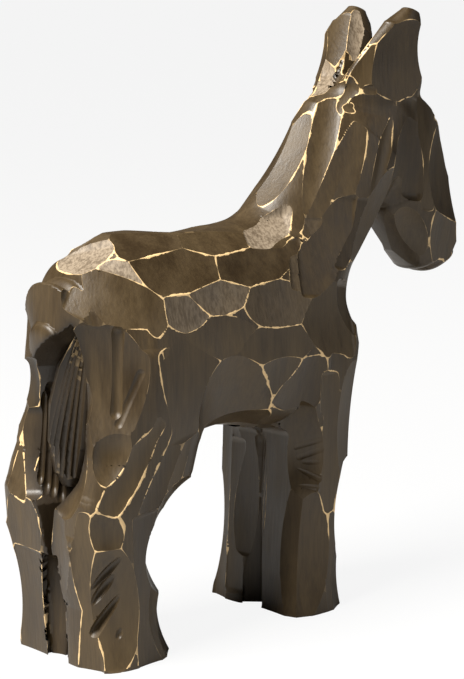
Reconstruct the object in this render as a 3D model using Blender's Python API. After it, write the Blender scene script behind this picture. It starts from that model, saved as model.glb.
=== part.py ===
"""Carved wooden horse figurine: a block-built standing foal, knife-faceted, with big upright ears.

Units of the finished objects are metres, +Z is up. The horse faces +X and its left side is +Y. The origin is
on the ground at the middle of the bounding box. The pieces are shaped in millimetres, in the figure's own
measure, in which x = 0 is under the middle of the back and z = 0 is the ground, and are scaled at the end.
"""
import math

import bmesh
import bpy
from mathutils import Matrix, Vector

MM = 0.001

# Whole figure
BOX_MIDDLE_X = 26.469     # x of the bounding box's middle, moved to the origin
KERF = 0.3               # gap left at every glued joint
CLEARANCE = 0.3          # gap round every dowel

# Limb stations: x, z, half depth, half width, y of the spine
TRUNK = [
    (-47.0, 83.0, 7.0, 6.0, 0.0), (-43.5, 83.5, 15.0, 11.5, 0.0), (-37.0, 83.5, 22.5, 16.5, 0.0),
    (-27.0, 84.0, 27.5, 20.5, 0.0), (-8.0, 83.5, 27.0, 21.5, 0.0), (12.0, 82.0, 27.5, 21.5, 0.0),
    (32.0, 79.0, 26.5, 20.0, 0.0), (42.0, 77.0, 24.0, 16.5, 0.0), (47.5, 75.5, 17.0, 12.0, 0.0),
    (51.0, 75.0, 9.0, 7.5, 0.0),
]
NECK = [
    (14.0, 82.0, 18.5, 17.5, 0.0), (23.0, 90.0, 18.5, 17.5, 0.0), (36.5, 102.5, 17.3, 16.0, 0.0),
    (49.5, 117.5, 17.3, 14.0, 0.0), (60.5, 131.5, 16.0, 12.8, 0.0), (68.0, 141.0, 11.0, 11.0, 0.0),
]
HEAD = [
    (66.0, 145.5, 4.0, 7.0, 0.0), (71.0, 140.5, 8.6, 10.5, 0.0), (79.5, 131.0, 13.5, 12.0, 0.0),
    (84.0, 117.0, 14.5, 11.0, 0.0), (90.0, 105.0, 13.2, 9.5, 0.0), (93.5, 98.5, 10.5, 8.8, 0.0),
    (95.2, 94.0, 6.0, 6.0, 0.0),
]
HIND_LEG = [
    (-33.5, -4.0, 12.9, 10.6, 9.6), (-36.5, 18.0, 10.8, 10.1, 9.1), (-39.0, 33.0, 11.0, 10.3, 9.2),
    (-36.8, 41.0, 14.3, 10.4, 9.4), (-30.5, 54.0, 17.0, 10.8, 9.7), (-27.0, 66.0, 18.0, 11.1, 10.1),
    (-26.0, 80.0, 17.5, 10.5, 10.2), (-25.0, 92.0, 11.0, 6.0, 9.0),
]
FORE_LEG = [
    (34.2, -4.0, 12.0, 10.1, 9.1), (35.0, 14.0, 9.8, 9.8, 8.8), (35.2, 28.0, 8.8, 9.7, 8.8),
    (36.8, 42.0, 9.8, 9.8, 8.9), (38.5, 54.0, 11.3, 10.0, 9.1), (39.8, 66.0, 12.3, 10.2, 9.1),
    (39.0, 78.0, 11.0, 10.0, 8.8), (37.0, 88.0, 5.0, 5.5, 7.5),
]
EAR = [
    (66.0, 139.0, 12.0, 5.0, 5.0), (68.5, 146.0, 13.5, 5.5, 6.3), (71.0, 154.0, 11.0, 5.0, 7.9),
    (74.0, 162.0, 7.0, 3.6, 9.3), (76.4, 168.8, 2.0, 1.5, 10.6),
]
TAIL = [
    (-38.0, 86.5, 5.0, 3.0, 0.0), (-39.0, 76.0, 6.0, 5.0, 0.0), (-39.8, 64.0, 6.2, 6.2, 0.0),
    (-41.0, 54.0, 4.6, 5.2, 0.0), (-41.6, 50.5, 2.6, 3.0, 0.0),
]

# Cleft behind the thighs, in which the tail lies: z, half width at the depth below
CLEFT_BOTTOM_X = -33.5
CLEFT_DEPTH = 12.0
CLEFT = [(30.0, 0.9), (42.0, 2.5), (50.0, 8.5), (60.0, 11.0), (76.0, 8.5), (90.0, 0.3)]

# Channel cut down between the front legs, behind and in front
CHANNEL_HALF = 4.0
CHANNEL_TOP = 50.0
CHANNEL_X = (24.5, 45.5)

# Joint planes
LEG_JOINT_Z = 55.0
EAR_JOINT_Z = 147.0
NECK_JOINT = (36.5, 100.0)
NECK_JOINT_ANGLE = math.radians(48.0)   # tilt of the joint's normal above the ground
HEAD_JOINT = (60.0, 128.0)
HEAD_JOINT_ANGLE = math.radians(16.0)

# Dowels
LEG_DOWEL_R = 4.0
LEG_DOWEL_LENGTH = 30.0
NECK_DOWEL_R = 4.0
NECK_DOWEL_LENGTH = 28.0
NECK_DOWEL_Y = 7.0
HEAD_DOWEL_R = 3.0
HEAD_DOWEL_LENGTH = 22.0
HEAD_DOWEL_STEP = 9.0
EAR_PEG_R = 2.0
EAR_PEG_LENGTH = 12.0
TAIL_PEG_R = 2.0
TAIL_PEG_LENGTH = 14.0


def add_object(name, bm):
    """Turn an edited mesh, cut into flat triangles, into an object of the scene."""
    bmesh.ops.triangulate(bm, faces=bm.faces)
    bmesh.ops.recalc_face_normals(bm, faces=bm.faces)
    mesh = bpy.data.meshes.new(name)
    bm.to_mesh(mesh)
    bm.free()
    obj = bpy.data.objects.new(name, mesh)
    bpy.context.scene.collection.objects.link(obj)
    return obj


def skin_rings(name, rings):
    """Closed body through a row of rings with the same number of points."""
    bm = bmesh.new()
    loops = [[bm.verts.new(point) for point in ring] for ring in rings]
    for lower, upper in zip(loops, loops[1:]):
        for k in range(len(lower)):
            bm.faces.new((lower[k - 1], lower[k], upper[k], upper[k - 1]))
    bm.faces.new(loops[0])
    bm.faces.new(loops[-1])
    return add_object(name, bm)


def signed_power(value, power):
    return math.copysign(abs(value) ** power, value)


def loft_limb(name, stations, sides, squareness, taper=0.0, side=1):
    """Rough-cut limb: superellipse rings set square to a spine in the XZ plane.

    The taper narrows the ring towards the back of the spine. Side -1 gives the right-hand limb.
    """
    rings = []
    for i, (x, z, half_depth, half_width, y) in enumerate(stations):
        before = stations[max(i - 1, 0)]
        after = stations[min(i + 1, len(stations) - 1)]
        along = Vector((after[0] - before[0], 0.0, after[1] - before[1])).normalized()
        back = Vector((-along.z, 0.0, along.x))
        ring = []
        for k in range(sides):
            angle = 2.0 * math.pi * k / sides
            v = signed_power(math.cos(angle), 2.0 / squareness)
            w = signed_power(math.sin(angle), 2.0 / squareness) * (1.0 - taper * v)
            point = Vector((x, side * y + half_width * w, z)) + back * (half_depth * v)
            ring.append(point)
        rings.append(ring)
    return skin_rings(name, rings)


def shave(obj, direction, depth):
    """One flat knife cut: takes a cap of the given depth off the side that faces the direction."""
    normal = Vector(direction).normalized()
    reach = max(vertex.co.dot(normal) for vertex in obj.data.vertices) - depth
    bm = bmesh.new()
    bm.from_mesh(obj.data)
    geometry = list(bm.verts) + list(bm.edges) + list(bm.faces)
    cut = bmesh.ops.bisect_plane(bm, geom=geometry, plane_co=normal * reach, plane_no=normal,
                                 clear_outer=True, dist=1e-5)
    rim = [item for item in cut["geom_cut"] if isinstance(item, bmesh.types.BMEdge)]
    bmesh.ops.contextual_create(bm, geom=rim)
    bmesh.ops.triangulate(bm, faces=bm.faces)
    bmesh.ops.recalc_face_normals(bm, faces=bm.faces)
    bm.to_mesh(obj.data)
    bm.free()


def combine(target, tool, operation):
    """Join the tool to the target, cut it out of it or keep what they share. The tool is used up."""
    modifier = target.modifiers.new("combine", "BOOLEAN")
    modifier.operation = operation
    modifier.solver = "EXACT"
    modifier.object = tool
    graph = bpy.context.evaluated_depsgraph_get()
    mesh = bpy.data.meshes.new_from_object(target.evaluated_get(graph))
    target.modifiers.clear()
    target.data = mesh
    bpy.data.objects.remove(tool)


def half_space(point, direction):
    """Big block on the side of a plane that the direction points to."""
    normal = Vector(direction).normalized()
    size = 400.0
    bm = bmesh.new()
    bmesh.ops.create_cube(bm, size=size)
    turn = Vector((0.0, 0.0, 1.0)).rotation_difference(normal).to_matrix().to_4x4()
    shift = Matrix.Translation(Vector(point) + normal * (size / 2.0))
    bmesh.ops.transform(bm, matrix=shift @ turn, verts=bm.verts)
    return add_object("half_space", bm)


def saw(blank, name, planes):
    """Piece of the blank between joint planes, each set back by half a kerf."""
    piece = blank.copy()
    piece.data = blank.data.copy()
    piece.name = name
    piece.data.name = name
    bpy.context.scene.collection.objects.link(piece)
    for point, direction in planes:
        normal = Vector(direction).normalized()
        combine(piece, half_space(Vector(point) + normal * (KERF / 2.0), normal), "INTERSECT")
    return piece


def round_bar(name, start, end, radius, chamfer):
    """Round bar between two points, with its ends chamfered."""
    start = Vector(start)
    end = Vector(end)
    along = (end - start).normalized()
    across = along.orthogonal().normalized()
    other = along.cross(across)
    rings = []
    for centre, r in ((start, radius - chamfer), (start + along * chamfer, radius),
                      (end - along * chamfer, radius), (end, radius - chamfer)):
        ring = []
        for k in range(20):
            angle = 2.0 * math.pi * k / 20
            ring.append(centre + (across * math.cos(angle) + other * math.sin(angle)) * r)
        rings.append(ring)
    return skin_rings(name, rings)


def dowel(name, centre, direction, radius, length, pieces):
    """Glued pin across a joint, with the hole for it drilled into the pieces on both sides."""
    half = Vector(direction).normalized() * (length / 2.0)
    centre = Vector(centre)
    room = half.normalized() * CLEARANCE
    for piece in pieces:
        bit = round_bar("bit", centre - half - room, centre + half + room, radius + CLEARANCE, 0.5)
        combine(piece, bit, "DIFFERENCE")
    return round_bar(name, centre - half, centre + half, radius, 0.6)


def cleft_tool(shift_x=0.0, shift_z=0.0):
    """Wedge that opens to the rear, with its edge upright inside the thighs."""
    rings = []
    for z, half_width in CLEFT:
        edge_x = CLEFT_BOTTOM_X + shift_x
        back_x = edge_x - 2.0 * CLEFT_DEPTH
        wide = 2.0 * half_width
        height = z + shift_z
        rings.append([(edge_x, 0.0, height), (back_x, wide, height), (back_x, -wide, height)])
    return skin_rings("cleft", rings)


def channel_tool(x):
    """Square bar stood on its edge, for the channel between the front legs."""
    corners = ((x - CHANNEL_HALF, 0.0), (x, CHANNEL_HALF), (x + CHANNEL_HALF, 0.0), (x, -CHANNEL_HALF))
    rings = [[(cx, cy, z) for cx, cy in corners] for z in (-5.0, CHANNEL_TOP)]
    rings.append([(x + 0.1 * (cx - x), 0.1 * cy, CHANNEL_TOP + 6.0) for cx, cy in corners])
    return skin_rings("channel", rings)


def material(name, colour, roughness):
    mat = bpy.data.materials.new(name)
    mat.use_nodes = True
    shader = mat.node_tree.nodes["Principled BSDF"]
    shader.inputs["Base Color"].default_value = (*colour, 1.0)
    shader.inputs["Roughness"].default_value = roughness
    return mat


for old in list(bpy.data.objects):
    bpy.data.objects.remove(old)

# Joint planes as point and direction into the piece above or in front
neck_plane = (NECK_JOINT[0], 0.0, NECK_JOINT[1])
neck_normal = Vector((math.cos(NECK_JOINT_ANGLE), 0.0, math.sin(NECK_JOINT_ANGLE)))
head_plane = (HEAD_JOINT[0], 0.0, HEAD_JOINT[1])
head_normal = Vector((math.cos(HEAD_JOINT_ANGLE), 0.0, math.sin(HEAD_JOINT_ANGLE)))
ground = (0.0, 0.0, -KERF / 2.0)
leg_plane = (0.0, 0.0, LEG_JOINT_Z)
ear_plane = (0.0, 0.0, EAR_JOINT_Z)
up = Vector((0.0, 0.0, 1.0))
left = Vector((0.0, 1.0, 0.0))
front = Vector((1.0, 0.0, 0.0))
middle = (0.0, 0.0, 0.0)

# Barrel of the body, with the rump and the chest shaved
body = loft_limb("body", TRUNK, 14, 2.5, taper=0.12)
shave(body, (-0.55, -0.5, 0.67), 1.8)
shave(body, (-0.55, 0.5, 0.67), 1.6)
shave(body, (-0.8, -0.1, 0.6), 1.8)
shave(body, (0.7, -0.6, -0.3), 1.2)
shave(body, (0.7, 0.6, -0.3), 1.2)

# Legs: the lower part of each limb is its own piece, the upper part swells the barrel
legs = {}
for label, facing in (("left", left), ("right", -left)):
    hind = loft_limb("hind", HIND_LEG, 12, 3.4, side=facing.y)
    shave(hind, (-0.5, facing.y * 0.85, -0.2), 1.2)
    shave(hind, (0.6, facing.y * 0.8, -0.4), 1.0)
    fore = loft_limb("fore", FORE_LEG, 12, 3.4, side=facing.y)
    shave(fore, (0.7, facing.y * 0.7, -0.2), 1.2)
    for which, limb in (("hind_leg_", hind), ("front_leg_", fore)):
        legs[which + label] = saw(limb, which + label, [(ground, up), (leg_plane, -up), (middle, facing)])
        combine(body, saw(limb, "stub", [(leg_plane, up), (facing, facing)]), "UNION")
        bpy.data.objects.remove(limb)
    combine(legs["hind_leg_" + label], cleft_tool(), "DIFFERENCE")
    for x in CHANNEL_X:
        combine(legs["front_leg_" + label], channel_tool(x), "DIFFERENCE")
combine(body, cleft_tool(), "DIFFERENCE")

# Neck, head and ears joined to the body
combine(body, loft_limb("neck_blank", NECK, 14, 2.3, taper=0.28), "UNION")
head_blank = loft_limb("head_blank", HEAD, 12, 2.5)
shave(head_blank, (0.8, -0.5, 0.35), 1.2)
shave(head_blank, (0.8, 0.5, 0.35), 1.2)
shave(head_blank, (0.75, 0.0, -0.65), 1.0)
combine(body, head_blank, "UNION")
for side in (1, -1):
    combine(body, loft_limb("ear_blank", EAR, 10, 2.2, side=side), "UNION")

# Pieces sawn from the joined body
trunk = saw(body, "trunk", [(leg_plane, up), (neck_plane, -neck_normal)])
neck = saw(body, "neck", [(neck_plane, neck_normal), (head_plane, -head_normal)])
head = saw(body, "head", [(neck_plane, neck_normal), (head_plane, head_normal), (ear_plane, -up)])
ears = {}
for label, facing in (("left", left), ("right", -left)):
    ears[label] = saw(body, "ear_" + label, [(ear_plane, up), (middle, facing)])
bpy.data.objects.remove(body)

# Tail: strip that fits between the walls of the cleft
tail = loft_limb("tail", TAIL, 10, 2.2)
combine(tail, cleft_tool(-0.5, -0.5), "INTERSECT")

# Dowels across the joints
pins = []
for label, sign in (("left", 1), ("right", -1)):
    for which, x, y in (("hind", -27.5, 10.0), ("front", 38.5, 9.6)):
        pins.append(dowel("dowel_" + which + "_leg_" + label, (x, sign * y, LEG_JOINT_Z), up,
                          LEG_DOWEL_R, LEG_DOWEL_LENGTH, [trunk, legs[which + "_leg_" + label]]))
    pins.append(dowel("dowel_neck_" + label, (NECK_JOINT[0], sign * NECK_DOWEL_Y, NECK_JOINT[1]), neck_normal,
                      NECK_DOWEL_R, NECK_DOWEL_LENGTH, [trunk, neck]))
    pins.append(dowel("peg_ear_" + label, (68.5, sign * 6.6, EAR_JOINT_Z), up,
                      EAR_PEG_R, EAR_PEG_LENGTH, [head, ears[label]]))
along_joint = Vector((-head_normal.z, 0.0, head_normal.x))
for label, sign in (("upper", 1), ("lower", -1)):
    centre = Vector(head_plane) + along_joint * (sign * HEAD_DOWEL_STEP)
    pins.append(dowel("dowel_head_" + label, centre, head_normal, HEAD_DOWEL_R, HEAD_DOWEL_LENGTH, [neck, head]))
pins.append(dowel("peg_tail", (-34.5, 0.0, 74.0), front, TAIL_PEG_R, TAIL_PEG_LENGTH, [trunk, tail]))

# Materials, and the whole figure moved so that the origin is under its middle
stain = material("stained_wood", (0.060, 0.043, 0.028), 0.42)
bare = material("dowel_wood", (0.52, 0.38, 0.22), 0.6)
figure = bpy.data.objects.new("figure", None)
figure.location = (-BOX_MIDDLE_X * MM, 0.0, 0.0)
bpy.context.scene.collection.objects.link(figure)
carved = [trunk, neck, head, tail, *ears.values(), *legs.values()]
for group, mat in ((carved, stain), (pins, bare)):
    for obj in group:
        obj.data.materials.clear()
        obj.data.materials.append(mat)
        obj.data.transform(Matrix.Scale(MM, 4))
        obj.parent = figure
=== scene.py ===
import math

import bpy
import numpy as np
from mathutils import Matrix, Vector


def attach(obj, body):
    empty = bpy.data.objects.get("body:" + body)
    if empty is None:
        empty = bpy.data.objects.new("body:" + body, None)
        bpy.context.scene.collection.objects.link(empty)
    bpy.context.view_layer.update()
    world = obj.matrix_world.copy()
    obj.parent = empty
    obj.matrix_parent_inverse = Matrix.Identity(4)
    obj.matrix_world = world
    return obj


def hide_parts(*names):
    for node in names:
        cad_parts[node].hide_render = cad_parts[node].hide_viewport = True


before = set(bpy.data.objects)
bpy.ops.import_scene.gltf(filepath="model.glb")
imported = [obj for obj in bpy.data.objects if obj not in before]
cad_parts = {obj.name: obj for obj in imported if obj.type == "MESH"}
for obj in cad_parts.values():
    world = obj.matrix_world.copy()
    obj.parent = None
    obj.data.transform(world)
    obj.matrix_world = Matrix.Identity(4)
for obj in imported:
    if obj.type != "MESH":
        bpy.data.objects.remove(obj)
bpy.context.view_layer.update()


# The figure is a small standing horse, carved by hand from blocks of close-grained hardwood.
# This is its shape before the knife: limbs of rounded section run together, with a cleft
# behind the thighs for the tail. Lengths are in millimetres from the sole, x to the nose.
MM = 0.001
BOX_MIDDLE_X = 26.469
CELL = 0.55
END_ROUNDING = 0.4

# Stations along a limb: x, z, half depth, half width, distance of its axis from the middle.
TRUNK = [
    (-47.5, 83, 8, 7, 0), (-44, 84, 17.5, 13.5, 0), (-37, 83.5, 23, 17.3, 0),
    (-27, 84, 28, 21, 0), (-8, 84, 27.5, 22, 0), (12, 82.5, 28, 22, 0), (32, 79, 27, 20.5, 0),
    (42, 77, 24.3, 17, 0), (47.5, 75.5, 17, 12.5, 0), (50.5, 75, 9, 7.5, 0),
]
NECK = [
    (14, 82, 18, 17.5, 0), (23, 90, 18.2, 17.7, 0), (36.5, 102.5, 17.4, 16.2, 0),
    (49.5, 117.5, 18.2, 14.4, 0), (60.2, 131.8, 17.8, 13.3, 0), (67.5, 141.5, 12.5, 11.3, 0),
]
HEAD = [
    (66, 145.5, 6, 7.5, 0), (71, 140.5, 11, 10.7, 0), (79.5, 131, 14.6, 12.4, 0),
    (84.3, 117, 15, 11.4, 0), (91.3, 105, 14, 10, 0), (95.5, 98.2, 11.4, 9.2, 0),
    (97.2, 94, 7.4, 6.8, 0),
]
HIND_LEG = [
    (-32.3, -4, 14.4, 11, 9.8), (-35.6, 18, 12, 10.6, 9.4), (-38.6, 33, 12.2, 11, 9.7),
    (-36.4, 41, 15.2, 11.2, 9.9), (-29.6, 54, 18.2, 11.1, 9.9), (-26.5, 66, 18.5, 11.2, 10.1),
    (-25.5, 80, 18, 10.6, 10.2), (-25, 92, 11, 6, 9),
]
FRONT_LEG = [
    (34.8, -4, 12.6, 10.4, 9.2), (35.4, 14, 10.3, 10.1, 9), (35.6, 28, 9.4, 9.9, 8.9),
    (37.3, 42, 10.6, 10, 9), (39.2, 54, 12.3, 10.1, 9.1), (40.6, 66, 13.2, 10.3, 9.1),
    (39.5, 78, 11.6, 10, 8.8), (37, 88, 5, 5.5, 7.5),
]
EAR = [
    (66.5, 139, 13, 5.4, 5.2), (68.5, 146, 14.6, 6.4, 6.6), (71, 154, 12.3, 6, 8.2),
    (74, 161.5, 8.4, 4.6, 9.6), (76, 167.4, 3.2, 2.2, 10.6),
]
TAIL = [
    (-36, 91.5, 5, 2, -8.5), (-37.5, 86, 6.2, 4, -6.5), (-38.5, 78, 7.2, 7, -3.2),
    (-39, 68, 7.6, 8.5, -1.5), (-40, 58, 6.6, 8, -0.8), (-41.5, 50, 4, 5, -0.5),
    (-42, 47, 2, 2.5, -0.5),
]
# How square each section is: 2 is an ellipse, and larger is boxier.
TRUNK_SQUARE, NECK_SQUARE, HEAD_SQUARE = 2.5, 2.3, 2.5
LEG_SQUARE, EAR_SQUARE, TAIL_SQUARE = 3.4, 2.2, 2.2
TRUNK_TAPER, NECK_TAPER = 0.12, 0.28

# The cleft behind the thighs: half its width and its middle at each height.
CLEFT_Z = [30, 42, 50, 60, 70, 78, 85, 91]
CLEFT_HALF = [0.9, 2.5, 8.5, 11.0, 10.5, 8.5, 4.0, 0.3]
CLEFT_MIDDLE = [0.0, -0.4, -0.7, -1.0, -1.5, -3.0, -6.0, -9.0]
CLEFT_BOTTOM_X, CLEFT_DEPTH = -33.5, 12.0
# The rough channel left between the front legs, front and back.
CHANNEL_X, CHANNEL_HALF, CHANNEL_TOP = (24.5, 45.5), 4.0, 52.0


def smooth_min(a, b, blend):
    """The smaller of two distances, with the crease between them rounded over blend."""
    share = np.clip(0.5 + 0.5 * (b - a) / blend, 0.0, 1.0)
    return b + (a - b) * share - blend * share * (1.0 - share)


def limb(points, stations, square, taper=0.0, side=1.0):
    """Distance to a limb: between two stations the section is a superellipse whose half depth
    and half width run in proportion, and the least of all the spans is the limb."""
    rows = np.array(stations, float)
    reach = rows[:, 2:4].max(axis=1)
    axis_y = side * rows[:, 4]
    low = np.array([(rows[:, 0] - reach).min(), axis_y.min() - reach.max(), (rows[:, 1] - reach).min()])
    high = np.array([(rows[:, 0] + reach).max(), axis_y.max() + reach.max(), (rows[:, 1] + reach).max()])
    near = np.all((points > low - 12.0) & (points < high + 12.0), axis=1)
    p = points[near]
    best = np.full(len(p), 30.0)
    for a, b in zip(rows[:-1], rows[1:]):
        run = np.array([b[0] - a[0], b[1] - a[1]])
        length = math.hypot(*run)
        ux, uz = run / length
        rx = p[:, 0] - a[0]
        rz = p[:, 2] - a[1]
        t = np.clip((rx * ux + rz * uz) / length, 0.0, 1.0)
        past_end = rx * ux + rz * uz - t * length
        across = -rx * uz + rz * ux
        depth = a[2] + t * (b[2] - a[2])
        width = a[3] + t * (b[3] - a[3])
        y = p[:, 1] - side * (a[4] + t * (b[4] - a[4]))
        width = width * (1.0 - taper * np.clip(across / depth, -1.0, 1.3))
        small = np.minimum(depth, width)
        q = (np.abs(across) / depth) ** square + (np.abs(y) / width) ** square
        q += (np.abs(past_end) / (END_ROUNDING * small)) ** square
        best = np.minimum(best, (np.maximum(q, 1e-9) ** (1.0 / square) - 1.0) * small)
    out = np.full(len(points), 30.0)
    out[near] = best
    return out


def cleft(p):
    """Distance to the cleft: a wedge that opens backwards, as wide as its half width says."""
    half = np.interp(p[:, 2], CLEFT_Z, CLEFT_HALF)
    middle = np.interp(p[:, 2], CLEFT_Z, CLEFT_MIDDLE)
    ahead = p[:, 0] - CLEFT_BOTTOM_X
    wedge = np.abs(p[:, 1] - middle) - half * np.clip(-ahead / CLEFT_DEPTH, 0.0, 2.0)
    return np.maximum(np.maximum(wedge, ahead), p[:, 2] - CLEFT_Z[-1])


def channel(p, x):
    """Distance to an upright square channel set on its corner, open at the ground."""
    sides = (np.abs(p[:, 0] - x) + np.abs(p[:, 1]) - CHANNEL_HALF) * 0.7
    return np.maximum(sides, (p[:, 2] - CHANNEL_TOP) * 0.6 + 0.4 * sides)


def block_form(p):
    """Distance to the whole horse before the knife: limbs run together, less the hollows."""
    d = limb(p, TRUNK, TRUNK_SQUARE, TRUNK_TAPER)
    for stations in (HIND_LEG, FRONT_LEG):
        left = limb(p, stations, LEG_SQUARE)
        right = limb(p, stations, LEG_SQUARE, side=-1.0)
        d = smooth_min(d, smooth_min(left, right, 1.5), 5.0)
    d = np.maximum(d, -cleft(p))
    for x in CHANNEL_X:
        d = np.maximum(d, -channel(p, x))
    d = smooth_min(d, limb(p, NECK, NECK_SQUARE, NECK_TAPER), 5.0)
    d = smooth_min(d, limb(p, HEAD, HEAD_SQUARE), 4.0)
    ears = np.minimum(limb(p, EAR, EAR_SQUARE), limb(p, EAR, EAR_SQUARE, side=-1.0))
    return smooth_min(d, ears, 2.0)


def tail_form(p):
    """Distance to the tail before the knife."""
    return limb(p, TAIL, TAIL_SQUARE)


def with_slope(form, p, h=0.05):
    """Distance and its direction of growth, from differences over h, scaled to unit slope."""
    value = form(p)
    slope = np.stack([(form(p + h * e) - form(p - h * e)) / (2 * h) for e in np.eye(3)], axis=1)
    size = np.maximum(np.linalg.norm(slope, axis=1), 0.2)
    return value / size, slope / size[:, None]


def onto(form, p):
    """Points moved to the nearest surface in five steps."""
    p = np.array(p, float)
    for _ in range(5):
        value, slope = with_slope(form, p)
        p = p - np.clip(value, -4, 4)[:, None] * slope
    return p


# The knife leaves shallow dished facets that meet in crisp ridges, so every cut is a dish
# laid on the form. A row gives where the stroke starts and ends, how wide it is, how hollow,
# how far it leans to one side in degrees, and how bare of stain it is left.
FOOTPRINT_LIFT = 0.3
OVERLAP = 1.18
SCOOP = 0.5


def make_cuts(form, rows):
    """Dishes fitted to a form: below the middle of the stroke the dish is as deep as the
    form's bulge over its width, a scoop deeper at most where the bulge over its length is
    more, plus the hollow, and it bends so that it meets the form at the ends and sides."""
    rows = np.array(rows, float)
    start, end = rows[:, 0:3], rows[:, 3:6]
    width, hollow, lean = rows[:, 6], rows[:, 7], rows[:, 8]
    c = {"bare": rows[:, 9]}
    c["origin"] = onto(form, (start + end) / 2)
    c["w"] = with_slope(form, c["origin"])[1]
    along = end - start
    c["a"] = OVERLAP * np.linalg.norm(along, axis=1) / 2
    c["b"] = OVERLAP * width / 2
    along = along - np.sum(along * c["w"], axis=1)[:, None] * c["w"]
    c["u"] = along / np.linalg.norm(along, axis=1)[:, None]
    c["v"] = np.cross(c["w"], c["u"])
    bulge, tilt = [], []
    for axis, half in ((c["u"], c["a"]), (c["v"], c["b"])):
        ends = []
        for sign in (1, -1):
            q = c["origin"] + sign * half[:, None] * axis
            for _ in range(4):
                value, slope = with_slope(form, q)
                step = value / np.maximum(np.sum(slope * c["w"], axis=1), 0.35)
                q = q - np.clip(step, -3, 3)[:, None] * c["w"]
            ends.append(np.clip(np.sum((q - c["origin"]) * c["w"], axis=1), -4, 1.5))
        bulge.append(np.clip(-(ends[0] + ends[1]) / 2, 0, 3))
        tilt.append(np.clip((ends[0] - ends[1]) / (2 * half), -0.35, 0.35))
    c["depth"] = np.minimum(np.maximum(bulge[0], bulge[1]), bulge[1] + SCOOP) + hollow
    c["bend_u"] = 2 * (c["depth"] - bulge[0]) / c["a"] ** 2
    c["bend_v"] = 2 * (c["depth"] - bulge[1]) / c["b"] ** 2
    c["tilt_u"] = tilt[0]
    c["tilt_v"] = tilt[1] + np.tan(np.radians(lean))
    return c


def overcut(form, c):
    """How far below the form each dish goes at its worst, beyond its own depth."""
    worst = np.zeros(len(c["a"]))
    for fu in np.linspace(-1.15, 1.15, 7):
        for fv in np.linspace(-1.15, 1.15, 7):
            u, v = fu * c["a"], fv * c["b"]
            past = np.maximum(np.abs(u) - c["a"], 0) ** 2 + np.maximum(np.abs(v) - c["b"], 0) ** 2
            w = -c["depth"] + c["tilt_u"] * u + c["tilt_v"] * v + FOOTPRINT_LIFT * past
            w = w + c["bend_u"] * u * u / 2 + c["bend_v"] * v * v / 2
            q = c["origin"] + u[:, None] * c["u"] + v[:, None] * c["v"] + w[:, None] * c["w"]
            worst = np.minimum(worst, form(q) + c["depth"])
    return worst


def chosen(c, which):
    """The cuts that an index or mask picks."""
    return {key: value[which] for key, value in c.items()}


def joined(*sets):
    """Several sets of cuts as one."""
    return {key: np.concatenate([c[key] for c in sets]) for key in sets[0]}


def cut_value(c, k, p):
    """Height above the dish of cut k, and its slope; outside the stroke the dish lifts away."""
    q = p - c["origin"][k]
    u, v, w = q @ c["u"][k], q @ c["v"][k], q @ c["w"][k]
    past_u = np.maximum(np.abs(u) - c["a"][k], 0)
    past_v = np.maximum(np.abs(v) - c["b"][k], 0)
    dish = c["tilt_u"][k] * u + c["tilt_v"][k] * v
    dish += c["bend_u"][k] * u * u / 2 + c["bend_v"][k] * v * v / 2
    g = w + c["depth"][k] - dish - FOOTPRINT_LIFT * (past_u ** 2 + past_v ** 2)
    gu = -c["tilt_u"][k] - c["bend_u"][k] * u - 2 * FOOTPRINT_LIFT * past_u * np.sign(u)
    gv = -c["tilt_v"][k] - c["bend_v"][k] * v - 2 * FOOTPRINT_LIFT * past_v * np.sign(v)
    size = np.sqrt(1 + gu ** 2 + gv ** 2)
    slope = (gu[:, None] * c["u"][k] + gv[:, None] * c["v"][k] + c["w"][k]) / size[:, None]
    return g / size, slope


def near_cut(c, k, p):
    """Which points a cut can reach."""
    reach_u, reach_v = 1.5 * c["a"][k] + 2.5, 1.5 * c["b"][k] + 2.5
    q = p - c["origin"][k]
    near = np.flatnonzero(np.all(np.abs(q) < math.hypot(reach_u, reach_v), axis=1))
    q = q[near]
    w = q @ c["w"][k]
    held = (np.abs(q @ c["u"][k]) < reach_u) & (np.abs(q @ c["v"][k]) < reach_v)
    return near[held & (w < 4.0) & (w > -9.0)]


def carved(form, c, planes, p):
    """Distance to the form after its cuts, kept to one side of each joint plane."""
    value = form(p)
    for k in range(len(c["a"])):
        near = near_cut(c, k, p)
        if len(near):
            value[near] = np.maximum(value[near], cut_value(c, k, p[near])[0])
    for point, normal in planes:
        value = np.maximum(value, (p - point) @ normal)
    return value


# The strokes that can be seen are marked on the picture, in its pixels from the top left: one
# end, the other end, a point on the rim, then hollow, lean and bareness. The camera carries
# each mark to the form. It stands behind the right hip; its lengths are millimetres.
VIEW_AZIMUTH, VIEW_HEIGHT = math.radians(47.5), math.radians(10.0)
VIEW_DISTANCE, VIEW_TARGET = 600.0, np.array([12.0, 0.0, 82.0])
PICTURE = (464, 679)
FOCAL_PIXELS = 2172.0
PRINCIPAL = (220.0, 328.0)
VIEW_FORWARD = np.array([
    math.cos(VIEW_AZIMUTH) * math.cos(VIEW_HEIGHT),
    math.sin(VIEW_AZIMUTH) * math.cos(VIEW_HEIGHT),
    -math.sin(VIEW_HEIGHT),
])
VIEW_RIGHT = np.array([math.sin(VIEW_AZIMUTH), -math.cos(VIEW_AZIMUTH), 0.0])
VIEW_UP = np.cross(VIEW_RIGHT, VIEW_FORWARD)
VIEW_EYE = VIEW_TARGET - VIEW_DISTANCE * VIEW_FORWARD

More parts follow.
